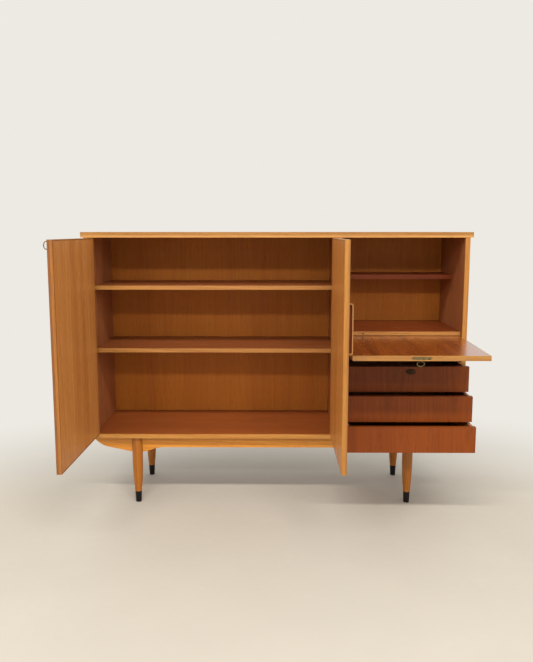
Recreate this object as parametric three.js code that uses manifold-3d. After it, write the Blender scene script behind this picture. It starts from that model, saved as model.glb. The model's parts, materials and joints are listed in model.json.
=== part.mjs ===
// Tall credenza on turned legs: two doors on the left, a drop flap and three drawers on the right.
// Everything is in millimetres. X runs to the right, Y to the back and Z up, with the floor at zero.
// While the pieces are made, X is zero in the middle of the carcass and Y is zero at its front plane.
// The doors, the flap and the drawers stand open, which is how the piece is shown.
import * as THREE from 'three';
import { mergeVertices } from 'three/addons/utils/BufferGeometryUtils.js';
import Module from 'manifold-3d';

const wasm = await Module();
wasm.setup();

// Clearances
const gap = 0.3;
const cutOverrun = 1;

// Carcass
const topWidth = 1600;
const topThickness = 22;
const topSideOverhang = 14;
const topFrontOverhang = 2;
const topCornerRadius = 10;
const totalHeight = 1154;
const carcassDepth = 415;
const sideThickness = 20;
const bottomThickness = 18;
const dividerThickness = 20;
const leftBayWidth = 1014;
const backThickness = 5;
const backInset = 2;

// Shelves of the left bay, with the share of the inner height that is below each shelf's upper face
const shelfThickness = 17;
const shelfSetback = 55;
const lowerShelfShare = 0.4345;
const upperShelfShare = 0.7573;

// Right bay, from the drawers up to the flap compartment
const drawerCount = 3;
const drawerFloorGap = 3;
const drawerFrontHeight = 102;
const drawerFrontSpacing = 4;
const railGap = 4;
const railThickness = 18;
const railDepth = 90;
const compartmentFloorThickness = 16;
const compartmentFloorSetback = 26;
const smallShelfDrop = 162;
const smallShelfThickness = 20;
const smallShelfDepth = 208;

// Legs, feet, apron and rear rail
const legHeight = 290;
const legTopRadius = 20.5;
const legBellyRadius = 22.3;
const legBellyHeight = 200;
const legAnkleRadius = 19.6;
const legAnkleHeight = 108;
const footHeight = 48;
const footTopRadius = 14.3;
const footTipRadius = 11.9;
const legInset = 208;
const baseShift = -16;
const frontLegSetback = 34;
const rearLegSetback = 376;
const apronThickness = 26;
const apronDrop = 49;
const apronShoulderRun = 74;
const apronShoulderDrop = 48.5;
const apronShoulderPullRun = 34;
const apronShoulderPullDrop = 43;
const apronLobeDrop = 69;
const apronLobeHalfWidth = 22;
const apronLobeOuterPullRun = 56;
const apronLobeOuterPullDrop = 61;
const apronLobeInnerPullRun = 49;
const apronLobeInnerPullDrop = 67;
const apronRisePullRun = 74;
const apronRiseRun = 116;
const rearRailThickness = 26;
const rearRailDrop = 34;
const rearRailOverhang = 60;

// Doors and their piano hinges
const doorThickness = 19;
const doorEdgeGap = 2;
const leftDoorAngle = 91.4;
const rightDoorAngle = 90;
const leafThickness = 1;
const leafPlay = 0.4;
const leafWidth = 16;
const hingeInset = 2;
const knuckleCount = 12;
const knuckleRadius = 2.2;
const knuckleBoreRadius = 1.3;
const hingePinRadius = 1;

// Finger pull on the right door. The left door is pulled open by its key.
const pullLength = 180;
const pullStand = 16;
const pullWidth = 20;
const pullLip = 3.8;
const pullBackWall = 7;
const pullEndWall = 6;
const pullCornerRadius = 8;
const pullEdgeDistance = 20;
const pullCentreHeight = 824;

// Flap, whose tail swings up against the compartment floor when it opens
const flapThickness = 19;
const flapSideGap = 1.5;
const flapEdgeGap = 2;
const flapFootGap = 3;
const flapTail = 66;
const flapPivotDrop = 11;
const pivotPinRadius = 3;
const pivotPinDepthInFlap = 16;
const pivotPinDepthInSide = 12;

// Drawer boxes and the boards that they run on
const drawerOpenings = [254, 194, 130];
const drawerSideGap = 1;
const drawerFrontThickness = 19;
const drawerWallThickness = 12;
const drawerWallRise = 2;
const drawerWallTopDrop = 4;
const drawerBoxDepth = 366;
const drawerBottomThickness = 5;
const drawerBottomRise = 8;
const drawerBottomGroove = 5;
const runnerBoardThickness = 3;
const runnerStand = 6;
const runnerHeight = 12;
const runnerSideClearance = 0.7;
const runnerLowerClearance = 0.7;
const runnerSetback = 20;
const runnerLength = 380;

// Mortise locks, which are alike in the left door, the flap and the top drawer
const lockForendLength = 70;
const lockForendWidth = 10;
const lockForendThickness = 2;
const lockCaseWidth = 50;
const lockCaseHeight = 32;
const lockCaseThickness = 9;
const lockCaseWall = 2;
const boltWidth = 16;
const boltThickness = 4.4;
const boltLength = 11;
const boltThrow = 6;
const keyDrop = 20;
const keyShaftRadius = 2;
const keyBitReach = 6;
const keyBitThickness = 2;
const keyNeck = 4.2;
const keyBowWidth = 30;
const keyBowDepth = 21;
const keyBowRim = 3;
const keyBowThickness = 2.4;
const doorLockEdgeDistance = 38;
const drawerLockOffset = 16;
const flapKeyTurnShare = 1 / 4;

// Ball catch that holds the right door
const catchRadius = 4;
const catchLength = 20;
const catchBallRadius = 3;
const catchBallStand = 1.5;
const catchEdgeDistance = 60;

// Roundness, in steps
const turnedSteps = 24;
const smallRoundSteps = 12;
const curveSteps = 8;

// Places worked out from the sizes above
const quarterTurn = Math.PI / 2;
const carcassHalfWidth = topWidth / 2 - topSideOverhang;
const innerHalfWidth = carcassHalfWidth - sideThickness;
const bottomFace = legHeight + bottomThickness;
const ceilingFace = totalHeight - topThickness;
const backFace = carcassDepth - backInset - backThickness;
const dividerLeftFace = leftBayWidth - innerHalfWidth;
const dividerRightFace = dividerLeftFace + dividerThickness;
const drawerPitch = drawerFrontHeight + drawerFrontSpacing;
const railFace = bottomFace + drawerFloorGap + drawerCount * drawerPitch - drawerFrontSpacing + railGap;
const flapPivotHeight = railFace + railThickness + flapFootGap + flapTail;
const flapPivotSetback = flapThickness / 2;
const compartmentFloorUnderside = flapPivotHeight + flapPivotDrop;
const compartmentFloorFace = compartmentFloorUnderside + compartmentFloorThickness;
const flapReach = ceilingFace - flapEdgeGap - flapPivotHeight;
const doorBottom = bottomFace + doorEdgeGap;
const doorTop = ceilingFace - doorEdgeGap;
const hingePinSetback = knuckleRadius + gap;
const hingePinOffset = leafThickness + leafPlay / 2;
const doorHingeEdge = hingePinOffset + gap;
const doorFreeEdge = leftBayWidth / 2 - hingePinOffset - doorEdgeGap / 2;
const legReach = carcassHalfWidth - legInset;
const legCentres = [baseShift - legReach, baseShift + legReach];

// The opened flap tips a little past level, until its tail meets the compartment floor.
const flapTailRadius = Math.hypot(flapThickness / 2, flapTail);
const flapTailAngle = Math.atan2(flapTail, flapThickness / 2);
const flapTip = flapTailAngle - Math.acos((flapPivotDrop - gap) / flapTailRadius);

// Finishes
function finish(color, roughness, metalness = 0) {
  return new THREE.MeshStandardMaterial({ color, roughness, metalness });
}
const carcassWood = finish(0xb9773a, 0.45);
const innerWood = finish(0x8a4e24, 0.5);
const shelfWood = finish(0x9c5a2c, 0.45);
const doorWood = finish(0xad6f38, 0.42);
const flapWood = finish(0xa5602c, 0.3);
const drawerWood = finish(0x85451f, 0.4);
const drawerBoxWood = finish(0xb5814c, 0.6);
const baseWood = finish(0xc07d38, 0.4);
const pullWood = finish(0xcf9058, 0.4);
const footBlack = finish(0x1d1916, 0.35);
const lockSteel = finish(0x8f8468, 0.4, 0.9);
const hingeBrass = finish(0xa98d4e, 0.4, 0.9);

// Makes a named piece and hangs it in its group.
function piece(parent, name, geometry, material) {
  const mesh = new THREE.Mesh(geometry, material);
  mesh.name = name;
  parent.add(mesh);
  return mesh;
}

// A board with square edges between two corners.
function board(x0, x1, y0, y1, z0, z1) {
  const geometry = new THREE.BoxGeometry(Math.abs(x1 - x0), y1 - y0, z1 - z0);
  geometry.translate((x0 + x1) / 2, (y0 + y1) / 2, (z0 + z1) / 2);
  return geometry;
}

// Extrudes an outline drawn in two of the axes along the third one.
const alongX = new THREE.Matrix4().makeBasis(
  new THREE.Vector3(0, 1, 0), new THREE.Vector3(0, 0, 1), new THREE.Vector3(1, 0, 0));
const alongY = new THREE.Matrix4().makeBasis(
  new THREE.Vector3(0, 0, 1), new THREE.Vector3(1, 0, 0), new THREE.Vector3(0, 1, 0));
function extruded(shape, from, to, basis, steps = curveSteps) {
  const geometry = new THREE.ExtrudeGeometry(shape, {
    depth: to - from, bevelEnabled: false, steps: 1, curveSegments: steps,
  });
  geometry.translate(0, 0, from);
  if (basis) {
    geometry.applyMatrix4(basis);
  }
  return geometry;
}

// A closed outline from corner points.
function outline(points) {
  return new THREE.Shape(points.map(([a, b]) => new THREE.Vector2(a, b)));
}

// An upright round rod between two heights.
function rod(radius, from, to, steps = smallRoundSteps) {
  const geometry = new THREE.CylinderGeometry(radius, radius, to - from, steps);
  geometry.rotateX(quarterTurn);
  geometry.translate(0, 0, (from + to) / 2);
  return geometry;
}

// A turned solid from its radii and heights, which start and end on the axis.
function turned(profile) {
  const geometry = new THREE.LatheGeometry(profile.map(([r, z]) => new THREE.Vector2(r, z)), turnedSteps);
  geometry.rotateX(quarterTurn);
  return geometry;
}

// Turns a geometry into a solid for cutting and joining. Flat triangles on a lathe's axis are left out.
function solid(geometry) {
  const bare = geometry.clone();
  bare.deleteAttribute('normal');
  bare.deleteAttribute('uv');
  const merged = mergeVertices(bare);
  const corners = Array.from(merged.index.array);
  const triangles = [];
  for (let i = 0; i < corners.length; i += 3) {
    const [a, b, c] = corners.slice(i, i + 3);
    if (a !== b && b !== c && c !== a) {
      triangles.push(a, b, c);
    }
  }
  return new wasm.Manifold(new wasm.Mesh({
    numProp: 3,
    vertProperties: new Float32Array(merged.attributes.position.array),
    triVerts: new Uint32Array(triangles),
  }));
}

// Turns a solid back into a geometry.
function shaped(body) {
  const mesh = body.getMesh();
  const geometry = new THREE.BufferGeometry();
  geometry.setAttribute('position', new THREE.BufferAttribute(new Float32Array(mesh.vertProperties), 3));
  geometry.setIndex(new THREE.BufferAttribute(new Uint32Array(mesh.triVerts), 1));
  geometry.computeVertexNormals();
  return geometry;
}

function cut(geometry, tools) {
  return shaped(tools.reduce((body, tool) => body.subtract(solid(tool)), solid(geometry)));
}

function joined(geometries) {
  return geometries.map(solid).reduce((body, other) => body.add(other));
}

// Mortise lock. It is drawn with its forend's upper face at height zero, its key axis at X zero,
// and the outer face of its board at Y zero, with the board behind it.
const lockMiddle = doorThickness / 2;
const keyCavityRadius = keyBitReach + gap;
const keyCavityFront = lockMiddle - lockCaseThickness / 2 + lockCaseWall;
const keyCavityBack = lockMiddle + lockCaseThickness / 2 - lockCaseWall;
const keyholeRadius = keyShaftRadius + gap;

function forendOutline(allowance) {
  const radius = lockForendWidth / 2 + allowance;
  const straight = (lockForendLength - lockForendWidth) / 2;
  const shape = new THREE.Shape();
  shape.absarc(straight, lockMiddle, radius, -quarterTurn, quarterTurn, false);
  shape.absarc(-straight, lockMiddle, radius, quarterTurn, -quarterTurn, false);
  return shape;
}

// A round rod through the board, on the key's axis.
function keyRod(radius, from, to, steps) {
  const geometry = rod(radius, -to, -from, steps);
  geometry.rotateX(quarterTurn);
  geometry.translate(0, 0, -keyDrop);
  return geometry;
}

function keyholeCutters(from, to) {
  const slotHalfWidth = keyBitThickness / 2 + gap;
  return [
    keyRod(keyholeRadius, from, to, smallRoundSteps),
    board(-slotHalfWidth, slotHalfWidth, from, to, -keyDrop - keyCavityRadius, -keyDrop),
  ];
}

function lockPocketCutters() {
  const caseHalf = lockCaseThickness / 2 + gap;
  const caseReach = lockCaseWidth / 2 + gap;
  return [
    extruded(forendOutline(gap), -lockForendThickness - gap, cutOverrun),
    board(-caseReach, caseReach, lockMiddle - caseHalf, lockMiddle + caseHalf, -lockCaseHeight - gap, 0),
    ...keyholeCutters(-cutOverrun, lockMiddle),
  ];
}

function lockCase() {
  const half = lockCaseThickness / 2;
  const body = joined([
    extruded(forendOutline(0), -lockForendThickness, 0),
    board(-lockCaseWidth / 2, lockCaseWidth / 2, lockMiddle - half, lockMiddle + half,
      -lockCaseHeight, -lockForendThickness / 2),
  ]);
  const channelHalf = boltWidth / 2 + gap;
  const channelHalfDepth = boltThickness / 2 + gap;
  const channelDepth = boltLength + gap;
  const cutters = [
    board(-channelHalf, channelHalf, lockMiddle - channelHalfDepth, lockMiddle + channelHalfDepth,
      -channelDepth, cutOverrun),
    keyRod(keyCavityRadius, keyCavityFront, keyCavityBack, turnedSteps),
    ...keyholeCutters(lockMiddle - half - cutOverrun, keyCavityBack),
  ];
  return shaped(cutters.reduce((result, tool) => result.subtract(solid(tool)), body));
}

function lockBolt(stand) {
  return board(-boltWidth / 2, boltWidth / 2, lockMiddle - boltThickness / 2, lockMiddle + boltThickness / 2,
    stand - boltLength, stand);
}

// The key lies along Y through its keyhole. Its bow and its bit are in one plane.
function lockKey(turn) {
  const bowMiddle = -keyNeck - keyBowDepth / 2;
  const bow = new THREE.Shape();
  bow.absellipse(bowMiddle, 0, keyBowDepth / 2, keyBowWidth / 2, 0, quarterTurn * 4, false, 0);
  const eye = new THREE.Path();
  eye.absellipse(bowMiddle, 0, keyBowDepth / 2 - keyBowRim, keyBowWidth / 2 - keyBowRim,
    0, quarterTurn * 4, true, 0);
  bow.holes.push(eye);
  const shaft = rod(keyShaftRadius, -keyCavityBack + gap, keyNeck + keyBowRim / 2);
  shaft.rotateX(quarterTurn);
  const geometry = shaped(joined([
    extruded(bow, -keyBowThickness / 2, keyBowThickness / 2, alongX, turnedSteps / 4),
    shaft,
    board(-keyBitThickness / 2, keyBitThickness / 2, keyCavityFront + gap, keyCavityBack - gap,
      -keyBitReach, 0),
  ]));
  geometry.rotateY(quarterTurn * 4 * turn);
  geometry.translate(0, 0, -keyDrop);
  return geometry;
}

// Hangs a lock's pieces in a group and returns the cutters for the board that holds it.
function fitLock(parent, name, x, y, z, { key = true, turn = 0 } = {}) {
  const lock = new THREE.Group();
  lock.position.set(x, y, z);
  parent.add(lock);
  piece(lock, `${name}_lock_case`, lockCase(), lockSteel);
  piece(lock, `${name}_lock_bolt`, lockBolt(boltThrow * turn), lockSteel);
  if (key) {
    piece(lock, `${name}_lock_key`, lockKey(turn), lockSteel);
  }
  return lockPocketCutters().map((tool) => tool.translate(x, y, z));
}

// The hollow that takes a bolt in the board above it.
function strikeCutter(x, y, face) {
  const halfWidth = boltWidth / 2 + cutOverrun;
  const halfDepth = boltThickness / 2 + cutOverrun;
  return board(x - halfWidth, x + halfWidth, y + lockMiddle - halfDepth, y + lockMiddle + halfDepth,
    face - cutOverrun, face + boltThrow + cutOverrun);
}

// Carcass
const doorLockX = -innerHalfWidth + hingePinOffset + doorFreeEdge - doorLockEdgeDistance;
const flapMiddle = (dividerRightFace + innerHalfWidth) / 2;
const drawerLockX = flapMiddle + drawerLockOffset;

function topPanel() {
  const half = topWidth / 2;
  const shape = new THREE.Shape();
  shape.moveTo(half, carcassDepth);
  shape.lineTo(-half, carcassDepth);
  shape.lineTo(-half, topCornerRadius - topFrontOverhang);
  shape.absarc(topCornerRadius - half, topCornerRadius - topFrontOverhang, topCornerRadius,
    quarterTurn * 2, quarterTurn * 3, false);
  shape.absarc(half - topCornerRadius, topCornerRadius - topFrontOverhang, topCornerRadius,
    quarterTurn * 3, quarterTurn * 4, false);
  return cut(extruded(shape, ceilingFace, totalHeight), [
    strikeCutter(doorLockX, 0, ceilingFace),
    strikeCutter(flapMiddle, 0, ceilingFace),
  ]);
}

function pivotPinCutter(from, to) {
  const geometry = rod(pivotPinRadius + gap, from, to);
  geometry.rotateY(quarterTurn);
  return geometry;
}

function atPivot(geometry) {
  return geometry.translate(0, flapPivotSetback, flapPivotHeight);
}

function makeCarcass(parent) {
  piece(parent, 'top_panel', topPanel(), carcassWood);
  piece(parent, 'left_side', board(-carcassHalfWidth, -innerHalfWidth, 0, carcassDepth,
    legHeight, ceilingFace), carcassWood);
  const rightSide = board(innerHalfWidth, carcassHalfWidth, 0, carcassDepth, legHeight, ceilingFace);
  piece(parent, 'right_side', cut(rightSide, [
    atPivot(pivotPinCutter(innerHalfWidth - cutOverrun, innerHalfWidth + pivotPinDepthInSide)),
  ]), carcassWood);
  const divider = board(dividerLeftFace, dividerRightFace, 0, backFace, bottomFace, ceilingFace);
  piece(parent, 'divider', cut(divider, [
    atPivot(pivotPinCutter(dividerRightFace - pivotPinDepthInSide, dividerRightFace + cutOverrun)),
  ]), carcassWood);
  piece(parent, 'bottom_panel', board(-innerHalfWidth, innerHalfWidth, 0, carcassDepth,
    legHeight, bottomFace), carcassWood);
  piece(parent, 'back_panel', board(-innerHalfWidth, innerHalfWidth, backFace, backFace + backThickness,
    bottomFace, ceilingFace), innerWood);
  for (const [name, share] of [['lower_shelf', lowerShelfShare], ['upper_shelf', upperShelfShare]]) {
    const face = bottomFace + share * (ceilingFace - bottomFace);
    piece(parent, name, board(-innerHalfWidth, dividerLeftFace, shelfSetback, backFace,
      face - shelfThickness, face), shelfWood);
  }
  piece(parent, 'compartment_floor', board(dividerRightFace, innerHalfWidth, compartmentFloorSetback,
    backFace, compartmentFloorUnderside, compartmentFloorFace), shelfWood);
  const smallShelfFace = ceilingFace - smallShelfDrop;
  piece(parent, 'small_shelf', board(dividerRightFace, innerHalfWidth, backFace - smallShelfDepth,
    backFace, smallShelfFace - smallShelfThickness, smallShelfFace), shelfWood);
  const rail = board(dividerRightFace, innerHalfWidth, 0, railDepth, railFace, railFace + railThickness);
  piece(parent, 'drawer_rail', cut(rail, [strikeCutter(drawerLockX, 0, railFace)]), carcassWood);
}

// Base
function legProfile(allowance) {
  const curve = new THREE.SplineCurve([
    new THREE.Vector2(footTopRadius, footHeight),
    new THREE.Vector2(legAnkleRadius, legAnkleHeight),
    new THREE.Vector2(legBellyRadius, legBellyHeight),
    new THREE.Vector2(legTopRadius, legHeight),
  ]);
  const points = curve.getPoints(curveSteps).map((p) => [p.x + allowance, p.y]);
  return [[0, footHeight], ...points, [0, legHeight]];
}

function legCutters(setback) {
  return legCentres.map((x) => {
    const reach = legHeight + cutOverrun;
    const post = turned([...legProfile(gap).slice(0, -1), [legTopRadius + gap, reach], [0, reach]]);
    return post.translate(x, setback, 0);
  });
}

// Draws one end of the apron's lower edge, from the carcass's corner inwards, with side as its sign.
function apronEnd(shape, side, legX, inwards) {
  const end = side * carcassHalfWidth;
  const drop = (value) => legHeight - value;
  const shoulder = [end - side * apronShoulderRun, drop(apronShoulderDrop)];
  const shoulderPull = [end - side * apronShoulderPullRun, drop(apronShoulderPullDrop)];
  const lobeOuter = [legX + side * apronLobeHalfWidth, drop(apronLobeDrop)];
  const lobeOuterPull = [legX + side * apronLobeOuterPullRun, drop(apronLobeOuterPullDrop)];
  const lobeInner = [legX - side * apronLobeHalfWidth, drop(apronLobeDrop)];
  const lobeInnerPull = [legX - side * apronLobeInnerPullRun, drop(apronLobeInnerPullDrop)];
  const risePull = [legX - side * apronRisePullRun, drop(apronDrop)];
  const rise = [legX - side * apronRiseRun, drop(apronDrop)];
  if (inwards) {
    shape.moveTo(end, legHeight);
    shape.quadraticCurveTo(...shoulderPull, ...shoulder);
    shape.quadraticCurveTo(...lobeOuterPull, ...lobeOuter);
    shape.lineTo(...lobeInner);
    shape.bezierCurveTo(...lobeInnerPull, ...risePull, ...rise);
  } else {
    shape.lineTo(...rise);
    shape.bezierCurveTo(...risePull, ...lobeInnerPull, ...lobeInner);
    shape.lineTo(...lobeOuter);
    shape.quadraticCurveTo(...lobeOuterPull, ...shoulder);
    shape.quadraticCurveTo(...shoulderPull, end, legHeight);
  }
}

function frontApron() {
  const shape = new THREE.Shape();
  apronEnd(shape, -1, legCentres[0], true);
  apronEnd(shape, 1, legCentres[1], false);
  const geometry = extruded(shape, -frontLegSetback - apronThickness, -frontLegSetback);
  geometry.rotateX(quarterTurn);
  return cut(geometry, legCutters(frontLegSetback));
}

function rearRail() {
  const rail = board(legCentres[0] - rearRailOverhang, legCentres[1] + rearRailOverhang,
    rearLegSetback - rearRailThickness, rearLegSetback, legHeight - rearRailDrop, legHeight);
  return cut(rail, legCutters(rearLegSetback));
}

function makeBase(parent) {
  piece(parent, 'front_apron', frontApron(), baseWood);
  piece(parent, 'rear_rail', rearRail(), baseWood);
  const foot = [[0, 0], [footTipRadius, 0], [footTopRadius, footHeight], [0, footHeight]];
  for (const [row, setback] of [['front', frontLegSetback], ['rear', rearLegSetback]]) {
    for (const [side, x] of [['left', legCentres[0]], ['right', legCentres[1]]]) {
      piece(parent, `${row}_${side}_leg`, turned(legProfile(0)), baseWood).position.set(x, setback, 0);
      piece(parent, `${row}_${side}_foot`, turned(foot), footBlack).position.set(x, setback, 0);
    }
  }
}

// One leaf of a piano hinge, around a pin on the Z axis. Its knuckles are every second one.
function hingeLeaf(side, first, height) {
  const near = side * leafPlay / 2;
  const far = side * (leafPlay / 2 + leafThickness);
  const plate = board(near, far, hingePinSetback, hingePinSetback + leafWidth, 0, height);
  const pitch = height / knuckleCount;
  const parts = [plate];
  for (let i = first; i < knuckleCount; i += 2) {
    const low = i * pitch + gap / 2;
    const high = (i + 1) * pitch - gap / 2;
    parts.push(board(near, far, 0, hingePinSetback + leafWidth / 2, low, high));
    parts.push(rod(knuckleRadius, low, high));
  }
  const bore = rod(knuckleBoreRadius, -cutOverrun, height + cutOverrun);
  return shaped(joined(parts).subtract(solid(bore)));
}

// Outline of the pull or of its hollow, in stand and length, with two round corners.
function pullOutline(stand, length, radius, root) {
  const half = length / 2;
  const shape = new THREE.Shape();
  shape.moveTo(root, half);
  shape.lineTo(root, -half);
  shape.lineTo(radius - stand, -half);
  shape.absarc(radius - stand, radius - half, radius, quarterTurn * 3, quarterTurn * 2, true);
  shape.absarc(radius - stand, half - radius, radius, quarterTurn * 2, quarterTurn, true);
  return shape;
}

// The pull's hollow is open to the right door's free edge, which is on the left of its hinge.
function doorPull() {
  const outer = pullEdgeDistance - doorFreeEdge;
  const inner = outer + pullWidth;
  const block = extruded(pullOutline(pullStand, pullLength, pullCornerRadius, -gap), outer, inner, alongX);
  const hollow = extruded(pullOutline(pullStand - pullLip, pullLength - 2 * pullEndWall,
    pullCornerRadius - pullLip, cutOverrun), outer - cutOverrun, inner - pullBackWall, alongX);
  return cut(block, [hollow]).translate(0, hingePinSetback, pullCentreHeight);
}

// A door hangs from its pin. It is drawn closed and then swung open.
function makeDoor(parent, side) {
  const name = side > 0 ? 'left' : 'right';
  const pinX = side > 0 ? -innerHalfWidth + hingePinOffset : dividerLeftFace - hingePinOffset;
  const hingeBottom = doorBottom + hingeInset;
  const hingeHeight = doorTop - doorBottom - 2 * hingeInset;

  const fixed = new THREE.Group();
  fixed.position.set(pinX, -hingePinSetback, hingeBottom);
  parent.add(fixed);
  piece(fixed, `${name}_hinge_carcass_leaf`, hingeLeaf(-side, 0, hingeHeight), hingeBrass);
  piece(fixed, `${name}_hinge_pin`, rod(hingePinRadius, 0, hingeHeight), hingeBrass);

  const door = new THREE.Group();
  door.position.set(pinX, -hingePinSetback, 0);
  const angle = side > 0 ? leftDoorAngle : rightDoorAngle;
  door.rotation.z = -side * THREE.MathUtils.degToRad(angle);
  parent.add(door);

  const face = hingePinSetback;
  const panel = board(side * doorHingeEdge, side * doorFreeEdge, face, face + doorThickness,
    doorBottom, doorTop);
  if (side > 0) {
    const pocket = fitLock(door, 'door', doorFreeEdge - doorLockEdgeDistance, face, doorTop);
    piece(door, 'left_door', cut(panel, pocket), doorWood);
  } else {
    const catchX = catchEdgeDistance - doorFreeEdge;
    const hole = rod(catchRadius + gap, doorTop - catchLength - gap, doorTop + cutOverrun);
    hole.translate(catchX, face + doorThickness / 2, 0);
    piece(door, 'right_door', cut(panel, [hole]), doorWood);
    const ball = new THREE.SphereGeometry(catchBallRadius, smallRoundSteps, smallRoundSteps);
    ball.translate(0, 0, doorTop + catchBallStand - catchBallRadius);
    const barrel = rod(catchRadius, doorTop - catchLength, doorTop);
    const doorCatch = shaped(joined([barrel, ball]));
    doorCatch.translate(catchX, face + doorThickness / 2, 0);
    piece(door, 'right_door_catch', doorCatch, lockSteel);
    piece(door, 'right_pull', doorPull(), pullWood);
  }
  const leaf = piece(door, `${name}_hinge_door_leaf`, hingeLeaf(side, 1, hingeHeight), hingeBrass);
  leaf.position.z = hingeBottom;
}

// Flap
function makeFlap(parent) {
  const flap = new THREE.Group();
  flap.position.set(0, flapPivotSetback, flapPivotHeight);
  flap.rotation.x = quarterTurn + flapTip;
  parent.add(flap);
  const left = dividerRightFace + flapSideGap;
  const right = innerHalfWidth - flapSideGap;
  const face = -flapThickness / 2;
  const panel = board(left, right, face, -face, -flapTail, flapReach);
  const pocket = fitLock(flap, 'flap', flapMiddle, face, flapReach, { turn: flapKeyTurnShare });
  piece(flap, 'flap', cut(panel, [
    ...pocket,
    pivotPinCutter(left - cutOverrun, left + pivotPinDepthInFlap + gap),
    pivotPinCutter(right - pivotPinDepthInFlap - gap, right + cutOverrun),
  ]), flapWood);
  const ends = [
    ['left', dividerRightFace - pivotPinDepthInSide, left + pivotPinDepthInFlap],
    ['right', right - pivotPinDepthInFlap, innerHalfWidth + pivotPinDepthInSide],
  ];
  for (const [name, from, to] of ends) {
    const pin = rod(pivotPinRadius, from, to);
    pin.rotateY(quarterTurn);
    piece(parent, `flap_pivot_${name}`, atPivot(pin), hingeBrass);
  }
}

// Drawers
const wallOuterFace = innerHalfWidth - runnerBoardThickness - runnerSideClearance;
const runnerFace = runnerBoardThickness + runnerStand;

function runnerRise(index) {
  return bottomFace + drawerFloorGap + index * drawerPitch + (drawerFrontHeight - runnerHeight) / 2;
}

// The board's profile has one runner for each drawer.
function runnerBoard(side) {
  const base = side > 0 ? innerHalfWidth : dividerRightFace;
  const at = (stand) => base - side * stand;
  const points = [[bottomFace, at(0)], [bottomFace, at(runnerBoardThickness)]];
  for (let i = 0; i < drawerCount; i += 1) {
    const low = runnerRise(i);
    points.push([low, at(runnerBoardThickness)], [low, at(runnerFace)]);
    points.push([low + runnerHeight, at(runnerFace)], [low + runnerHeight, at(runnerBoardThickness)]);
  }
  points.push([railFace, at(runnerBoardThickness)], [railFace, at(0)]);
  return extruded(outline(points), runnerSetback, runnerSetback + runnerLength, alongY);
}

// A drawer wall has a groove outside for the runner and one inside for the bottom.
function drawerWall(side, index) {
  const centre = flapMiddle;
  const at = (inset) => centre + side * (wallOuterFace - centre - inset);
  const low = bottomFace + drawerFloorGap + index * drawerPitch + drawerWallRise;
  const high = low - drawerWallRise + drawerFrontHeight - drawerWallTopDrop;
  const runner = runnerRise(index);
  const bottomLow = low + drawerBottomRise;
  const bottomHigh = bottomLow + drawerBottomThickness + gap;
  const innerGroove = drawerWallThickness - drawerBottomGroove;
  return extruded(outline([
    [low, at(0)],
    [runner - runnerLowerClearance, at(0)],
    [runner - runnerLowerClearance, at(runnerStand)],
    [runner + runnerHeight + gap, at(runnerStand)],
    [runner + runnerHeight + gap, at(0)],
    [high, at(0)],
    [high, at(drawerWallThickness)],
    [bottomHigh, at(drawerWallThickness)],
    [bottomHigh, at(innerGroove)],
    [bottomLow, at(innerGroove)],
    [bottomLow, at(drawerWallThickness)],
    [low, at(drawerWallThickness)],
  ]), drawerFrontThickness, drawerFrontThickness + drawerBoxDepth, alongY);
}

function makeDrawer(parent, name, index) {
  const drawer = new THREE.Group();
  drawer.position.y = -drawerOpenings[index];
  parent.add(drawer);
  const low = bottomFace + drawerFloorGap + index * drawerPitch;
  const high = low + drawerFrontHeight;
  const rear = drawerFrontThickness + drawerBoxDepth;
  const front = board(dividerRightFace + drawerSideGap, innerHalfWidth - drawerSideGap,
    0, drawerFrontThickness, low, high);
  if (index === drawerCount - 1) {
    const pocket = fitLock(drawer, 'drawer', drawerLockX, 0, high, { key: false });
    piece(drawer, `${name}_drawer_front`, cut(front, pocket), drawerWood);
  } else {
    piece(drawer, `${name}_drawer_front`, front, drawerWood);
  }
  piece(drawer, `${name}_drawer_left_wall`, drawerWall(-1, index), drawerBoxWood);
  piece(drawer, `${name}_drawer_right_wall`, drawerWall(1, index), drawerBoxWood);
  const halfInside = wallOuterFace - drawerWallThickness - flapMiddle;
  const bottomReach = halfInside + drawerBottomGroove - gap;
  const bottomLow = low + drawerWallRise + drawerBottomRise;
  const bottomHigh = bottomLow + drawerBottomThickness;
  piece(drawer, `${name}_drawer_bottom`, board(flapMiddle - bottomReach, flapMiddle + bottomReach,
    drawerFrontThickness, rear, bottomLow, bottomHigh), drawerBoxWood);
  piece(drawer, `${name}_drawer_back`, board(flapMiddle - halfInside, flapMiddle + halfInside,
    rear - drawerWallThickness, rear, bottomHigh, high - drawerWallTopDrop), drawerBoxWood);
}

const group = new THREE.Group();
makeCarcass(group);
makeBase(group);
makeDoor(group, 1);
makeDoor(group, -1);
makeFlap(group);
piece(group, 'left_runner_board', runnerBoard(-1), drawerBoxWood);
piece(group, 'right_runner_board', runnerBoard(1), drawerBoxWood);
['bottom', 'middle', 'top'].forEach((name, index) => makeDrawer(group, name, index));

// The origin is under the middle of the opened piece, on the floor.
const extent = new THREE.Box3().setFromObject(group, true);
const middle = extent.getCenter(new THREE.Vector3());
group.position.set(-middle.x, -middle.y, 0);

export default group;
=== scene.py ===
# Looks of a tall credenza with open doors, drop flap and drawers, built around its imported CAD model.
# Everything is in metres. X runs to the right, Y to the back and Z up.
import json
import math
import random

import bmesh
import bpy
from mathutils import Matrix, Vector


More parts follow.
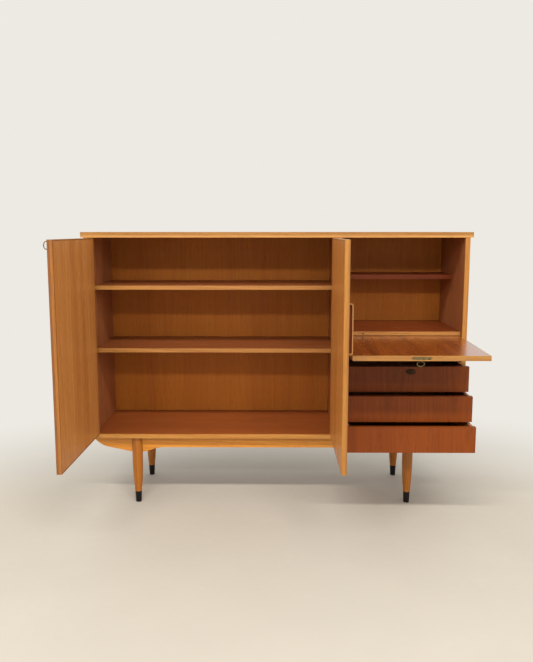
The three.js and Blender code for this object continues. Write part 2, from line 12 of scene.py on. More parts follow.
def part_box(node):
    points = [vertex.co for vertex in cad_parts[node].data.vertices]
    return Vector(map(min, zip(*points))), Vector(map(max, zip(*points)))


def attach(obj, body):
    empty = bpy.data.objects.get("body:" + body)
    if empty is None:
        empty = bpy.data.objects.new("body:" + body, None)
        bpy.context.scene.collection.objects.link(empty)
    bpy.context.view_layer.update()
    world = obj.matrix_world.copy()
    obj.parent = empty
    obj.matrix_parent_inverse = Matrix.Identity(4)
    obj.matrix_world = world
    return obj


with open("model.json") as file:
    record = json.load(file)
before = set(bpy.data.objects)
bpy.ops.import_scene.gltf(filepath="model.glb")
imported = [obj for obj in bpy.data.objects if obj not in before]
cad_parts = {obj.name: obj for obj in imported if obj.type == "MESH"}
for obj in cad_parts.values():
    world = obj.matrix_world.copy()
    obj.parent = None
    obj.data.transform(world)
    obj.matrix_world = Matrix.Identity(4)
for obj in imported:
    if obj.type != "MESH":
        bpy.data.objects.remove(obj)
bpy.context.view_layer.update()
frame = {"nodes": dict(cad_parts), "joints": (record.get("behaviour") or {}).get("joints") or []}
nodes = frame["nodes"]
scene = bpy.context.scene
random.seed(7)

# How far the doors stand open, and how far the flap dips below level, at rest
LEFT_DOOR_ANGLE = math.radians(91.4)
RIGHT_DOOR_ANGLE = math.radians(90)
FLAP_TIP = math.radians(1.043)
joints = {joint["name"]: joint for joint in frame["joints"]}


def linear(code):
    """A colour given as six hex digits, in Blender's linear values."""
    parts = [int(code[i:i + 2], 16) / 255 for i in (0, 2, 4)]
    scaled = [c / 12.92 if c <= 0.04045 else ((c + 0.055) / 1.055) ** 2.4 for c in parts]
    return (*scaled, 1)


# Node helpers. A value that is a socket is linked, and any other value is set.
def feed(tree, value, socket):
    if isinstance(value, bpy.types.NodeSocket):
        tree.links.new(value, socket)
    else:
        socket.default_value = value


def calc(tree, operation, *values, clamp=False):
    part = tree.nodes.new("ShaderNodeMath")
    part.operation = operation
    part.use_clamp = clamp
    for value, socket in zip(values, part.inputs):
        feed(tree, value, socket)
    return part.outputs[0]


def vector_calc(tree, operation, a, b):
    part = tree.nodes.new("ShaderNodeVectorMath")
    part.operation = operation
    feed(tree, a, part.inputs[0])
    feed(tree, b, part.inputs[1])
    return part.outputs[0]


def noise(tree, place, detail=2.0, roughness=0.5, scale=1.0):
    part = tree.nodes.new("ShaderNodeTexNoise")
    feed(tree, place, part.inputs["Vector"])
    part.inputs["Scale"].default_value = scale
    part.inputs["Detail"].default_value = detail
    part.inputs["Roughness"].default_value = roughness
    return part.outputs[0]


def line_noise(tree, value, detail=2.0):
    part = tree.nodes.new("ShaderNodeTexNoise")
    part.noise_dimensions = "1D"
    feed(tree, value, part.inputs["W"])
    part.inputs["Scale"].default_value = 1
    part.inputs["Detail"].default_value = detail
    return part.outputs[0]


def spread(tree, value, low, high, out_low=0.0, out_high=1.0, kind="LINEAR"):
    part = tree.nodes.new("ShaderNodeMapRange")
    part.interpolation_type = kind
    feed(tree, value, part.inputs["Value"])
    feed(tree, low, part.inputs["From Min"])
    feed(tree, high, part.inputs["From Max"])
    feed(tree, out_low, part.inputs["To Min"])
    feed(tree, out_high, part.inputs["To Max"])
    return part.outputs[0]


def blend_colour(tree, amount, a, b, kind="MIX"):
    part = tree.nodes.new("ShaderNodeMix")
    part.data_type = "RGBA"
    part.blend_type = kind
    feed(tree, amount, part.inputs[0])
    feed(tree, a, part.inputs[6])
    feed(tree, b, part.inputs[7])
    return part.outputs[2]


def combine(tree, x, y, z):
    part = tree.nodes.new("ShaderNodeCombineXYZ")
    for value, socket in zip((x, y, z), part.inputs):
        feed(tree, value, socket)
    return part.outputs[0]


def separate(tree, vector):
    part = tree.nodes.new("ShaderNodeSeparateXYZ")
    feed(tree, vector, part.inputs[0])
    return part.outputs


# Scales of the noises in the wood, over its width, over its depth and along its grain
WARP_SCALE = (6.0, 6.0, 1.1)
FINE_WARP_SCALE = (40.0, 40.0, 7.0)
CLOUD_SCALE = (11.0, 11.0, 0.55)
FIBRE_SCALE = (380.0, 380.0, 5.0)
PORE_SCALE = (900.0, 900.0, 22.0)
WEAR_SCALE = (17.0, 17.0, 9.0)

# How far a seed moves the wood, how far the noises bend its rings, and how the rings turn and taper
SEED_SHIFTS = (3.71, 1.93, 5.17)
WARP_REACH = 0.07
FINE_WARP_REACH = 0.004
RING_TURN = 0.0022
TAPER_ALONG = 0.034
TAPER_DEEP = 0.8

# The span of a noise that is spread from 0 to 1, and how dark and high the pores and fibres are
NOISE_LOW, NOISE_HIGH = 0.3, 0.7
PORE_LOW, PORE_HIGH = 0.6, 0.7
PORE_SHADE = 0.62
PORE_HEIGHT = -0.8
FIBRE_HEIGHT = 0.5


# A group that draws sliced wood. Its place has the width in X, the depth in Y and the grain in Z.
def wood_group():
    group = bpy.data.node_groups.new("sliced_wood", "ShaderNodeTree")
    inputs = [
        ("Place", "NodeSocketVector", None),
        ("Seed", "NodeSocketFloat", 0.0),
        ("Dark", "NodeSocketColor", (0.1, 0.05, 0.02, 1)),
        ("Light", "NodeSocketColor", (0.4, 0.2, 0.1, 1)),
        ("Rings", "NodeSocketFloat", 90.0),
        ("Ring Share", "NodeSocketFloat", 0.35),
        ("Cloud Share", "NodeSocketFloat", 0.4),
        ("Fibre Share", "NodeSocketFloat", 0.25),
        ("Leaf", "NodeSocketFloat", 0.22),
    ]
    for name, kind, value in inputs:
        socket = group.interface.new_socket(name, in_out="INPUT", socket_type=kind)
        if value is not None:
            socket.default_value = value
    outputs = (("Color", "NodeSocketColor"), ("Height", "NodeSocketFloat"), ("Wear", "NodeSocketFloat"))
    for name, kind in outputs:
        group.interface.new_socket(name, in_out="OUTPUT", socket_type=kind)
    start = group.nodes.new("NodeGroupInput").outputs
    end = group.nodes.new("NodeGroupOutput").inputs
    shifts = [calc(group, "MULTIPLY", start["Seed"], factor) for factor in SEED_SHIFTS]
    place = vector_calc(group, "ADD", start["Place"], combine(group, *shifts))
    warp = noise(group, vector_calc(group, "MULTIPLY", place, WARP_SCALE), detail=3)
    fine_warp = noise(group, vector_calc(group, "MULTIPLY", place, FINE_WARP_SCALE), detail=2)
    across, depth, along = separate(group, place)
    bend = calc(group, "MULTIPLY_ADD", calc(group, "SUBTRACT", warp, 0.5), WARP_REACH, across)
    bend = calc(group, "MULTIPLY_ADD", calc(group, "SUBTRACT", fine_warp, 0.5), FINE_WARP_REACH, bend)
    folded = calc(group, "PINGPONG", bend, calc(group, "MULTIPLY", start["Leaf"], 0.5))
    reach = calc(group, "SQRT", calc(group, "MULTIPLY_ADD", folded, folded, RING_TURN))
    taper = calc(group, "MULTIPLY_ADD", along, TAPER_ALONG, calc(group, "MULTIPLY", depth, TAPER_DEEP))
    field = calc(group, "MULTIPLY", calc(group, "SUBTRACT", reach, taper), start["Rings"])
    ring = spread(group, line_noise(group, field, detail=1.5), NOISE_LOW, NOISE_HIGH, kind="SMOOTHSTEP")
    cloud = noise(group, vector_calc(group, "MULTIPLY", place, CLOUD_SCALE), detail=3)
    cloud = spread(group, cloud, NOISE_LOW, NOISE_HIGH)
    fibre = noise(group, vector_calc(group, "MULTIPLY", place, FIBRE_SCALE), detail=3, roughness=0.6)
    fibre = spread(group, fibre, NOISE_LOW, NOISE_HIGH)
    pore = noise(group, vector_calc(group, "MULTIPLY", place, PORE_SCALE), detail=1)
    pore = spread(group, pore, PORE_LOW, PORE_HIGH)
    amount = calc(group, "MULTIPLY", ring, start["Ring Share"])
    amount = calc(group, "MULTIPLY_ADD", cloud, start["Cloud Share"], amount)
    amount = calc(group, "MULTIPLY_ADD", fibre, start["Fibre Share"], amount, clamp=True)
    colour = blend_colour(group, amount, start["Dark"], start["Light"])
    shade = spread(group, pore, 0.0, 1.0, 1.0, PORE_SHADE)
    colour = blend_colour(group, 1.0, colour, combine(group, shade, shade, shade), "MULTIPLY")
    height = calc(group, "MULTIPLY_ADD", pore, PORE_HEIGHT, calc(group, "MULTIPLY", fibre, FIBRE_HEIGHT))
    wear = noise(group, vector_calc(group, "MULTIPLY", place, WEAR_SCALE), detail=4)
    group.links.new(colour, end["Color"])
    group.links.new(height, end["Height"])
    group.links.new(wear, end["Wear"])
    return group


WOOD = wood_group()

# Looks of the woods: dark and light colour, rings per metre, shares of rings, clouds and fibres, leaf width
LOOKS = {
    "left_door": dict(dark="a0602c", light="cd8f4f", rings=70, shares=(0.25, 0.5, 0.25), leaf=0.34),
    # The right door's look is the left door's veneer painted brighter, as painted light, because less lamp
    # light reaches its face at rest.
    "right_door": dict(dark="a7602a", light="d4934a", rings=70, shares=(0.25, 0.5, 0.25), leaf=0.34),
    # The carcass look is the sides' veneer with painted shade in it, darker and bluer than the outside look,
    # for the shaded inner faces.
    "carcass": dict(dark="884f34", light="bc7c4e", rings=80, shares=(0.3, 0.45, 0.25), leaf=0.3),
    "back": dict(dark="a65e1c", light="c27725", rings=60, shares=(0.25, 0.5, 0.25), leaf=0.42),
    "outside": dict(dark="955a2c", light="c4864a", rings=80, shares=(0.3, 0.45, 0.25), leaf=0.36),
    "plain_back": dict(dark="8a6240", light="ad8458", rings=60, shares=(0.35, 0.4, 0.25), leaf=0.5),
    "shelf": dict(dark="743c23", light="96572e", rings=80, shares=(0.3, 0.45, 0.25), leaf=0.3),
    "bottom": dict(dark="7c3e1d", light="9f5728", rings=80, shares=(0.3, 0.45, 0.25), leaf=0.3),
    "bar_floor": dict(dark="63280f", light="803b17", rings=80, shares=(0.3, 0.45, 0.25), leaf=0.3),
    # The small shelf is the shelves' veneer painted darker, as painted shade.
    "small_shelf": dict(dark="6b3011", light="924519", rings=80, shares=(0.3, 0.4, 0.3), leaf=0.3),
    "flap": dict(dark="5b2409", light="994e16", rings=60, shares=(0.25, 0.65, 0.1), leaf=0.3),
    "drawer": dict(dark="612c09", light="843f10", rings=150, shares=(0.35, 0.3, 0.35), leaf=0.26),
    "honey": dict(dark="a3692a", light="c69146", rings=120, shares=(0.35, 0.35, 0.3), leaf=0.6),
    "gold": dict(dark="8f571f", light="ae7935", rings=120, shares=(0.35, 0.35, 0.3), leaf=0.6),
    "dull_gold": dict(dark="7f5020", light="9d6b33", rings=120, shares=(0.35, 0.35, 0.3), leaf=0.6),
    "shelf_edge": dict(dark="915b25", light="b17e40", rings=120, shares=(0.35, 0.35, 0.3), leaf=0.6),
    "flap_lip": dict(dark="895412", light="a87624", rings=120, shares=(0.35, 0.35, 0.3), leaf=0.6),
    "tan": dict(dark="855725", light="a37539", rings=120, shares=(0.35, 0.35, 0.3), leaf=0.6),
    "pale_honey": dict(dark="a56f35", light="c29153", rings=120, shares=(0.3, 0.35, 0.35), leaf=0.6),
    "amber": dict(dark="814919", light="9d6628", rings=120, shares=(0.35, 0.35, 0.3), leaf=0.6),
    "dark_amber": dict(dark="70421c", light="88562c", rings=120, shares=(0.35, 0.35, 0.3), leaf=0.6),
    "apron": dict(dark="b56b20", light="d99433", rings=110, shares=(0.35, 0.35, 0.3), leaf=0.5),
    "leg": dict(dark="8c4b0d", light="af6d1a", rings=110, shares=(0.35, 0.35, 0.3), leaf=0.5),
    "pull": dict(dark="8b5b33", light="ab7f55", rings=120, shares=(0.3, 0.35, 0.35), leaf=0.6),
    # The hollow look is painted shade for the inside of the pull's hollow.
    "hollow": dict(dark="602a08", light="7a3c12", rings=120, shares=(0.3, 0.35, 0.35), leaf=0.6),
    "box": dict(dark="7a4a28", light="a87244", rings=90, shares=(0.35, 0.4, 0.25), leaf=0.5),
}


def draw_wood(tree, look, place, seed):
    """Adds one drawing of wood to a tree and returns its outputs."""
    part = tree.nodes.new("ShaderNodeGroup")
    part.node_tree = WOOD
    spec = LOOKS[look]
    feed(tree, place, part.inputs["Place"])
    part.inputs["Seed"].default_value = seed
    part.inputs["Dark"].default_value = linear(spec["dark"])
    part.inputs["Light"].default_value = linear(spec["light"])
    part.inputs["Rings"].default_value = spec["rings"]
    for name, share in zip(("Ring Share", "Cloud Share", "Fibre Share"), spec["shares"]):
        part.inputs[name].default_value = share
    part.inputs["Leaf"].default_value = spec["leaf"]
    return part.outputs


def new_material(name):
    material = bpy.data.materials.new(name)
    material.use_nodes = True
    return material, material.node_tree, material.node_tree.nodes["Principled BSDF"]


# Where each axis of a board goes in the place of its wood, by the axis of its grain
TURNS = {"x": (1, 2, 0), "y": (0, 2, 1), "z": (0, 1, 2)}


def board_place(tree, grain, rest):
    """The board's own coordinates, which rest makes from the object's, and the place of its wood."""
    source = tree.nodes.new("ShaderNodeTexCoord").outputs["Object"]
    if rest is not None:
        turn = tree.nodes.new("ShaderNodeMapping")
        turn.vector_type = "POINT"
        turn.inputs["Location"].default_value = rest.to_translation()
        turn.inputs["Rotation"].default_value = rest.to_euler()
        tree.links.new(source, turn.inputs["Vector"])
        source = turn.outputs[0]
    own = separate(tree, source)
    place = combine(tree, *[own[i] for i in TURNS[grain]])
    return own, place


# How much the grain changes a wood's roughness, the roughness of its varnish, and how far each band's seed is
# from the one before it. A bump is a strength and a height.
GRAIN_ROUGHNESS = -0.05
COAT_ROUGHNESS = 0.25
BAND_SEED_STEP = 3.3
WOOD_BUMP = (0.25, 0.0004)
FINE_BUMP = (0.2, 0.0002)


def add_bump(tree, shader, height, strength, distance):
    bump = tree.nodes.new("ShaderNodeBump")
    bump.inputs["Strength"].default_value = strength
    bump.inputs["Distance"].default_value = distance
    tree.links.new(height, bump.inputs["Height"])
    tree.links.new(bump.outputs[0], shader.inputs["Normal"])


def wood_material(name, look, grain="z", rest=None, bands=(), roughness=0.4, coat=0.1, grit=0.12, gloss=0.35,
                  zoom=None):
    """A wood material. Each band is (test, look, grain) and lies over the ones before it."""
    material, tree, shader = new_material(name)
    own, place = board_place(tree, grain, rest)
    if zoom:
        place = vector_calc(tree, "MULTIPLY", place, zoom)
    seed = random.uniform(0, 40)
    drawn = draw_wood(tree, look, place, seed)
    colour, height = drawn["Color"], drawn["Height"]
    for index, (test, band_look, band_grain) in enumerate(bands):
        mask = test(tree, own)
        band_place = combine(tree, *[own[i] for i in TURNS[band_grain]])
        other = draw_wood(tree, band_look, band_place, seed + BAND_SEED_STEP * (index + 1))
        colour = blend_colour(tree, mask, colour, other["Color"])
        height = spread(tree, mask, 0.0, 1.0, height, other["Height"])
    tree.links.new(colour, shader.inputs["Base Color"])
    rough = spread(tree, drawn["Wear"], NOISE_LOW, NOISE_HIGH, roughness - grit / 2, roughness + grit / 2)
    rough = calc(tree, "MULTIPLY_ADD", height, GRAIN_ROUGHNESS, rough)
    tree.links.new(rough, shader.inputs["Roughness"])
    add_bump(tree, shader, height, *WOOD_BUMP)
    shader.inputs["Specular IOR Level"].default_value = gloss
    shader.inputs["Coat Weight"].default_value = coat
    shader.inputs["Coat Roughness"].default_value = COAT_ROUGHNESS
    return material


# How softly one look goes over into the next: at most edges, in the pull's hollow and on the doors' edges
SHARP_SOFT = 0.0002
PULL_SOFT = 0.0003
BAND_SOFT = 0.0008


def below(axis, limit, soft=SHARP_SOFT):
    return lambda tree, own: spread(tree, own[axis], limit - soft, limit + soft, 1.0, 0.0)


def above(axis, limit, soft=SHARP_SOFT):
    return lambda tree, own: spread(tree, own[axis], limit - soft, limit + soft, 0.0, 1.0)


def combined(operation, tests):
    """A test that joins the masks of other tests by one operation."""
    def test(tree, own):
        result, *others = [part(tree, own) for part in tests]
        for mask in others:
            result = calc(tree, operation, result, mask)
        return result
    return test


def both(*tests):
    return combined("MULTIPLY", tests)


def either(*tests):
    return combined("MAXIMUM", tests)


# Scale of the metals' brushing, how much tarnish and brushing roughen them, and how metallic they are
BRUSH_SCALE = (600.0, 600.0, 60.0)
TARNISH_ROUGHNESS = 0.22
BRUSH_ROUGHNESS = 0.12
METALLIC = 0.9


def metal_material(name, light, dark, roughness):
    """A dull metal with tarnish in patches and fine brushing."""
    material, tree, shader = new_material(name)
    source = tree.nodes.new("ShaderNodeTexCoord").outputs["Object"]
    tarnish = spread(tree, noise(tree, source, detail=5, roughness=0.6, scale=90), 0.35, 0.68)
    brushed = noise(tree, vector_calc(tree, "MULTIPLY", source, BRUSH_SCALE), detail=2)
    tree.links.new(blend_colour(tree, tarnish, linear(light), linear(dark)), shader.inputs["Base Color"])
    rough = calc(tree, "MULTIPLY_ADD", tarnish, TARNISH_ROUGHNESS, roughness)
    rough = calc(tree, "MULTIPLY_ADD", brushed, BRUSH_ROUGHNESS, rough)
    tree.links.new(rough, shader.inputs["Roughness"])
    shader.inputs["Metallic"].default_value = METALLIC
    add_bump(tree, shader, brushed, *FINE_BUMP)
    return material


# The boards' own coordinates. A door's run from its pin along its width, and the flap's from its pivot.
def placed(pin, turn):
    return (Matrix.Translation(pin) @ turn).inverted()


left_pin = Vector(joints["left_door_hinge"]["pos_m"])
left_pin.z = 0
right_pin = Vector(joints["right_door_hinge"]["pos_m"])
right_pin.z = 0
flap_pin = Vector(joints["flap_pivot"]["pos_m"])
LEFT_REST = placed(left_pin, Matrix.Rotation(-LEFT_DOOR_ANGLE, 4, "Z"))
RIGHT_REST = placed(right_pin, Matrix.Rotation(RIGHT_DOOR_ANGLE, 4, "Z"))
FLAP_REST = placed(flap_pin, Matrix.Rotation(math.pi / 2 + FLAP_TIP, 4, "X"))


def own_box(node, rest):
    """The box of a node in its board's own coordinates."""
    points = [rest @ vertex.co for vertex in nodes[node].data.vertices]
    low = Vector([min(p[i] for p in points) for i in range(3)])
    high = Vector([max(p[i] for p in points) for i in range(3)])
    return low, high


# Angles from which an edge is kept sharp and is rounded, the segments of a rounded edge, and the weld's reach
SHARP_ANGLE = math.radians(50)
ROUND_ANGLE = math.radians(32)
ROUND_SEGMENTS = 2
WELD_REACH = 0.00002


# A group that shades a piece smoothly up to its sharp edges
def smoothing_group():
    group = bpy.data.node_groups.new("smooth_by_angle", "GeometryNodeTree")
    group.interface.new_socket("Geometry", in_out="INPUT", socket_type="NodeSocketGeometry")
    group.interface.new_socket("Geometry", in_out="OUTPUT", socket_type="NodeSocketGeometry")
    start = group.nodes.new("NodeGroupInput")
    end = group.nodes.new("NodeGroupOutput")
    normals = group.nodes.new("GeometryNodeSetMeshNormal")
    normals.mode = "SHARPNESS"
    angle = group.nodes.new("GeometryNodeInputMeshEdgeAngle")
    sharp = group.nodes.new("FunctionNodeCompare")
    sharp.operation = "GREATER_THAN"
    sharp.inputs[1].default_value = SHARP_ANGLE
    group.links.new(angle.outputs[0], sharp.inputs[0])
    group.links.new(start.outputs[0], normals.inputs["Mesh"])
    group.links.new(sharp.outputs[0], normals.inputs["Edge Sharpness"])
    group.links.new(normals.outputs[0], end.inputs[0])
    return group


SMOOTHING = smoothing_group()


def soften(piece, width):
    """Rounds the arrises of a piece by a width and shades it smoothly."""
    weld = piece.modifiers.new("weld", "WELD")
    weld.merge_threshold = WELD_REACH
    if width:
        bevel = piece.modifiers.new("round", "BEVEL")
        bevel.width = width
        bevel.segments = ROUND_SEGMENTS
        bevel.limit_method = "ANGLE"
        bevel.angle_limit = ROUND_ANGLE
    smooth = piece.modifiers.new("smooth", "NODES")
    smooth.node_group = SMOOTHING
    weighted = piece.modifiers.new("flat faces", "WEIGHTED_NORMAL")
    weighted.keep_sharp = True


def dress(names, material, width=0.0):
    for name in names:
        node = nodes[name]
        node.data.materials.clear()
        node.data.materials.append(material)
        soften(node, width)


# Widths of the rounded arrises
PANEL_ROUND = 0.0012
FRONT_ROUND = 0.001
BOARD_ROUND = 0.0008
THIN_ROUND = 0.0006
KEY_ROUND = 0.0005
METAL_ROUND = 0.0002

# Sizes of the solid lippings, of the sides' outer bands that keep the carcass look's painted shade off the
# outer faces, of the back's outer skin, and of the top edge's lower band
LIP = 0.006
SIDE_OUTER_BAND = 0.0015
BACK_SKIN = 0.0008
TOP_BAND = 0.0085
TOP_BAND_SOFT = 0.0006

# Carcass
top_low, top_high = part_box("top_panel")
side_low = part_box("left_side")[0]
top_rim = either(below(1, top_low.y + LIP), below(0, top_low.x + LIP), above(0, top_high.x - LIP))
dress(["top_panel"], wood_material("top_wood", "outside", "x", bands=[
    (top_rim, "tan", "x"),
    (both(top_rim, below(2, top_low.z + TOP_BAND, TOP_BAND_SOFT)), "pale_honey", "x"),
], gloss=0.25), PANEL_ROUND)
front_lip = below(1, side_low.y + LIP)
# The sides' inner faces carry the carcass look with its painted shade, and a band gives their outer faces the
# outside look.
outer_faces = {
    "left_side": below(0, side_low.x + SIDE_OUTER_BAND),
    "right_side": above(0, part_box("right_side")[1].x - SIDE_OUTER_BAND),
}
for name, outer_face in outer_faces.items():
    dress([name], wood_material(name + "_wood", "carcass", "z", bands=[
        (outer_face, "outside", "z"),
        (front_lip, "gold", "z"),
    ]), BOARD_ROUND)
divider_wood = wood_material("divider_wood", "carcass", "z", bands=[(front_lip, "gold", "z")])
dress(["divider"], divider_wood, BOARD_ROUND)
bottom_wood = wood_material("bottom_wood", "bottom", "x", bands=[(front_lip, "honey", "x")])
dress(["bottom_panel"], bottom_wood, BOARD_ROUND)
rear_face = above(1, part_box("back_panel")[1].y - BACK_SKIN)
dress(["back_panel"], wood_material("back_wood", "back", "z", bands=[(rear_face, "plain_back", "z")],
                                    roughness=0.55, coat=0.0, gloss=0.2))
for name in ("lower_shelf", "upper_shelf"):
    lip = below(1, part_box(name)[0].y + LIP)
    dress([name], wood_material(name + "_wood", "shelf", "x", bands=[(lip, "shelf_edge", "x")]), BOARD_ROUND)
# The small shelf is painted darker and has no bright front lip: painted shade.
shaded_small_shelf_wood = wood_material("shaded_small_shelf_wood", "small_shelf", "x", coat=0.0, gloss=0.2)
dress(["small_shelf"], shaded_small_shelf_wood, BOARD_ROUND)
floor_lip = below(1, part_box("compartment_floor")[0].y + LIP)
dress(["compartment_floor"], wood_material("compartment_wood", "bar_floor", "x", bands=[
    (floor_lip, "shelf_edge", "x"),
]), BOARD_ROUND)
dress(["drawer_rail"], wood_material("rail_wood", "carcass", "x"), THIN_ROUND)

# Base
dress(["front_apron", "rear_rail"], wood_material("apron_wood", "apron", "x", roughness=0.38), BOARD_ROUND)
for name in ("front_left_leg", "front_right_leg", "rear_left_leg", "rear_right_leg"):
    dress([name], wood_material(name + "_wood", "leg", "z", roughness=0.38))

LACQUER_SCALE = (500.0, 500.0, 30.0)


def black_material():
    """Black lacquer with fine grain and a few scuffs."""
    material, tree, shader = new_material("black_lacquer")
    source = tree.nodes.new("ShaderNodeTexCoord").outputs["Object"]
    grain = noise(tree, vector_calc(tree, "MULTIPLY", source, LACQUER_SCALE), detail=3)
    scuffs = spread(tree, noise(tree, source, detail=5, roughness=0.65, scale=160), 0.6, 0.75)
    colour = blend_colour(tree, scuffs, linear("0c0906"), linear("1e160f"))
    tree.links.new(colour, shader.inputs["Base Color"])
    tree.links.new(spread(tree, grain, 0.2, 0.8, 0.34, 0.52), shader.inputs["Roughness"])
    shader.inputs["Specular IOR Level"].default_value = 0.25
    add_bump(tree, shader, grain, *FINE_BUMP)
    return material


FEET = ["front_left_foot", "front_right_foot", "rear_left_foot", "rear_right_foot"]
dress(FEET, black_material(), THIN_ROUND)

# Doors. Their upright edges are bright, with a duller strip beside the outer face.
BRASS = metal_material("dull_brass", "a8884c", "6c5430", 0.34)
STEEL = metal_material("tarnished_steel", "8c7a54", "4c4028", 0.38)
BRONZE = metal_material("dark_bronze", "4e3826", "241a12", 0.42)
DOOR_EDGES = (
    ("left", LEFT_REST, "amber", "dark_amber", 0.009),
    ("right", RIGHT_REST, "gold", "dull_gold", 0.006),
)
for side, rest, bright, dull, dull_width in DOOR_EDGES:
    low, high = own_box(side + "_door", rest)
    uprights = either(above(0, high.x - LIP), below(0, low.x + LIP))
    ends = either(above(2, high.z - LIP), below(2, low.z + LIP))
    outer = below(1, low.y + dull_width, BAND_SOFT)
    dress([side + "_door"], wood_material(side + "_door_wood", side + "_door", "z", rest, bands=[
        (ends, bright, "x"),
        (uprights, bright, "z"),
        (both(uprights, outer), dull, "z"),
    ]), PANEL_ROUND)
    dress([side + "_hinge_carcass_leaf", side + "_hinge_door_leaf"], BRASS, METAL_ROUND)
    dress([side + "_hinge_pin"], BRASS)

# The pull's hollow, which is open to the door's free edge, is painted darker as painted shade, and its ends
# are painted duller as the painted shadow of the door.
PULL_BACK_SKIN = 0.0008
PULL_MOUTH = 0.003
PULL_LIP = 0.0036
PULL_RIM = 0.0048
PULL_END = 0.007
PULL_END_SOFT = 0.003
low, high = own_box("right_pull", RIGHT_REST)
hollow_shade_mask = both(above(0, low.x + PULL_BACK_SKIN, PULL_SOFT), below(0, high.x - PULL_MOUTH),
              above(1, low.y + PULL_LIP, PULL_SOFT),
              above(2, low.z + PULL_RIM), below(2, high.z - PULL_RIM))
pull_end_shade_mask = either(above(2, high.z - PULL_END, PULL_END_SOFT), below(2, low.z + PULL_END, PULL_END_SOFT))
dress(["right_pull"], wood_material("pull_wood", "pull", "z", RIGHT_REST, bands=[
    (pull_end_shade_mask, "dull_gold", "x"),
    (hollow_shade_mask, "hollow", "z"),
], coat=0.0, gloss=0.2), PANEL_ROUND)
dress(["right_door_catch", "door_lock_case", "door_lock_bolt", "flap_lock_case", "flap_lock_bolt",
       "drawer_lock_case", "drawer_lock_bolt"], STEEL, METAL_ROUND)
dress(["door_lock_key", "flap_lock_key"], STEEL, KEY_ROUND)

# Flap, with a finer and denser figure than the other boards
FLAP_ZOOM = (2.2, 2.2, 1.2)
low, high = own_box("flap", FLAP_REST)
flap_rim = either(above(2, high.z - LIP), below(0, low.x + LIP), above(0, high.x - LIP))
flap_wood = wood_material("flap_wood", "flap", "z", FLAP_REST, bands=[(flap_rim, "flap_lip", "x")],
                          roughness=0.25, coat=1.0, gloss=0.5, zoom=FLAP_ZOOM)
dress(["flap"], flap_wood, FRONT_ROUND)
dress(["flap_pivot_left", "flap_pivot_right"], BRASS)


# Drawers
def box_wood(name, grain, roughness=0.55):
    return wood_material(name, "box", grain, roughness=roughness, coat=0.0)


for name in ("top", "middle", "bottom"):
    front_wood = wood_material(name + "_front_wood", "drawer", "z", roughness=0.45, coat=0.0, gloss=0.2)
    dress([name + "_drawer_front"], front_wood, FRONT_ROUND)
    walls = [name + "_drawer_" + part for part in ("left_wall", "right_wall")]
    dress(walls, box_wood(name + "_wall_wood", "y"), THIN_ROUND)
    dress([name + "_drawer_back"], box_wood(name + "_rear_wood", "x"), THIN_ROUND)
    dress([name + "_drawer_bottom"], box_wood(name + "_base_wood", "x", 0.6))
dress(["left_runner_board", "right_runner_board"], box_wood("runner_wood", "y"))


# Small metal pieces that are only in this model. Each is drawn with its back at z 0 and its slot to -Y.
def oval(half_width, half_height, steps=36):
    turns = [2 * math.pi * i / steps for i in range(steps)]
    return [(half_width * math.cos(a), half_height * math.sin(a)) for a in turns]


def keyhole(radius, half_slot, reach, steps=36):
    """A round hole with a straight slot below it, down to a reach from its middle."""
    points = []
    for i in range(steps):
        across, up = math.cos(2 * math.pi * i / steps), math.sin(2 * math.pi * i / steps)
        far = radius
        if up < -0.001:
            far = max(radius, min(half_slot / max(abs(across), 0.001), -reach / up))
        points.append((far * across, far * up))
    return points


def rounded_slab(half_width, half_height, radius, steps=36):
    """An oblong with round corners."""
    points = []
    for i in range(steps):
        a = 2 * math.pi * i / steps
        x = math.copysign(half_width - radius, math.cos(a)) + radius * math.cos(a)
        y = math.copysign(half_height - radius, math.sin(a)) + radius * math.sin(a)
        points.append((x, y))
    return points


def bridge(bm, loops):
    """A closed ring of faces through loops of as many points each, given with their heights."""
    rings = [[bm.verts.new((x, y, height)) for x, y in points] for points, height in loops]
    for one, other in zip(rings, rings[1:] + rings[:1]):
        for i in range(len(one)):
            j = (i + 1) % len(one)
            bm.faces.new((one[i], one[j], other[j], other[i]))
    return [vert for ring in rings for vert in ring]


def prism(bm, points, low, high, taper=1.0):
    """A closed block over an outline, whose upper end is smaller by its taper."""
    base = [bm.verts.new((x, y, low)) for x, y in points]
    top = [bm.verts.new((x * taper, y * taper, high)) for x, y in points]
    bm.faces.new(base[::-1])
    bm.faces.new(top)
    for i in range(len(points)):
        j = (i + 1) % len(points)
        bm.faces.new((base[i], base[j], top[j], top[i]))
    return base + top


# A screw head's depth in its surface, its slot's floor as a share of its height, half its slot's width as a
# share of its radius, its taper, and the steps of its outline and of each half's arc
SCREW_SUNK = 0.0004
SLOT_FLOOR = 0.3
SLOT_HALF = 0.13
SCREW_TAPER = 0.94
SCREW_STEPS = 16
ARC_STEPS = 8


def add_screw(bm, place, radius, proud):
    """A slotted screw head that stands a little proud of its surface."""
    verts = prism(bm, oval(radius, radius, SCREW_STEPS), -SCREW_SUNK, proud * SLOT_FLOOR)
    start = math.asin(SLOT_HALF)
    for half in (0, math.pi):
        turns = [half + start + (math.pi - 2 * start) * i / ARC_STEPS for i in range(ARC_STEPS + 1)]
        arc = [(radius * math.cos(a), radius * math.sin(a)) for a in turns]
        verts += prism(bm, arc, 0.0, proud, SCREW_TAPER)
    turned = place @ Matrix.Rotation(random.uniform(0, math.pi), 4, "Z")
    bmesh.ops.transform(bm, matrix=turned, verts=verts)


def add_piece(name, bm, body, material, width=0.0):
    """Makes a piece of a mesh, with rounded arrises, that rides on a body."""
    mesh = bpy.data.meshes.new(name)
    bmesh.ops.recalc_face_normals(bm, faces=bm.faces)
    bm.to_mesh(mesh)
    bm.free()
    made = bpy.data.objects.new(name, mesh)
    scene.collection.objects.link(made)
    mesh.materials.append(material)
    soften(made, width)
    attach(made, body)


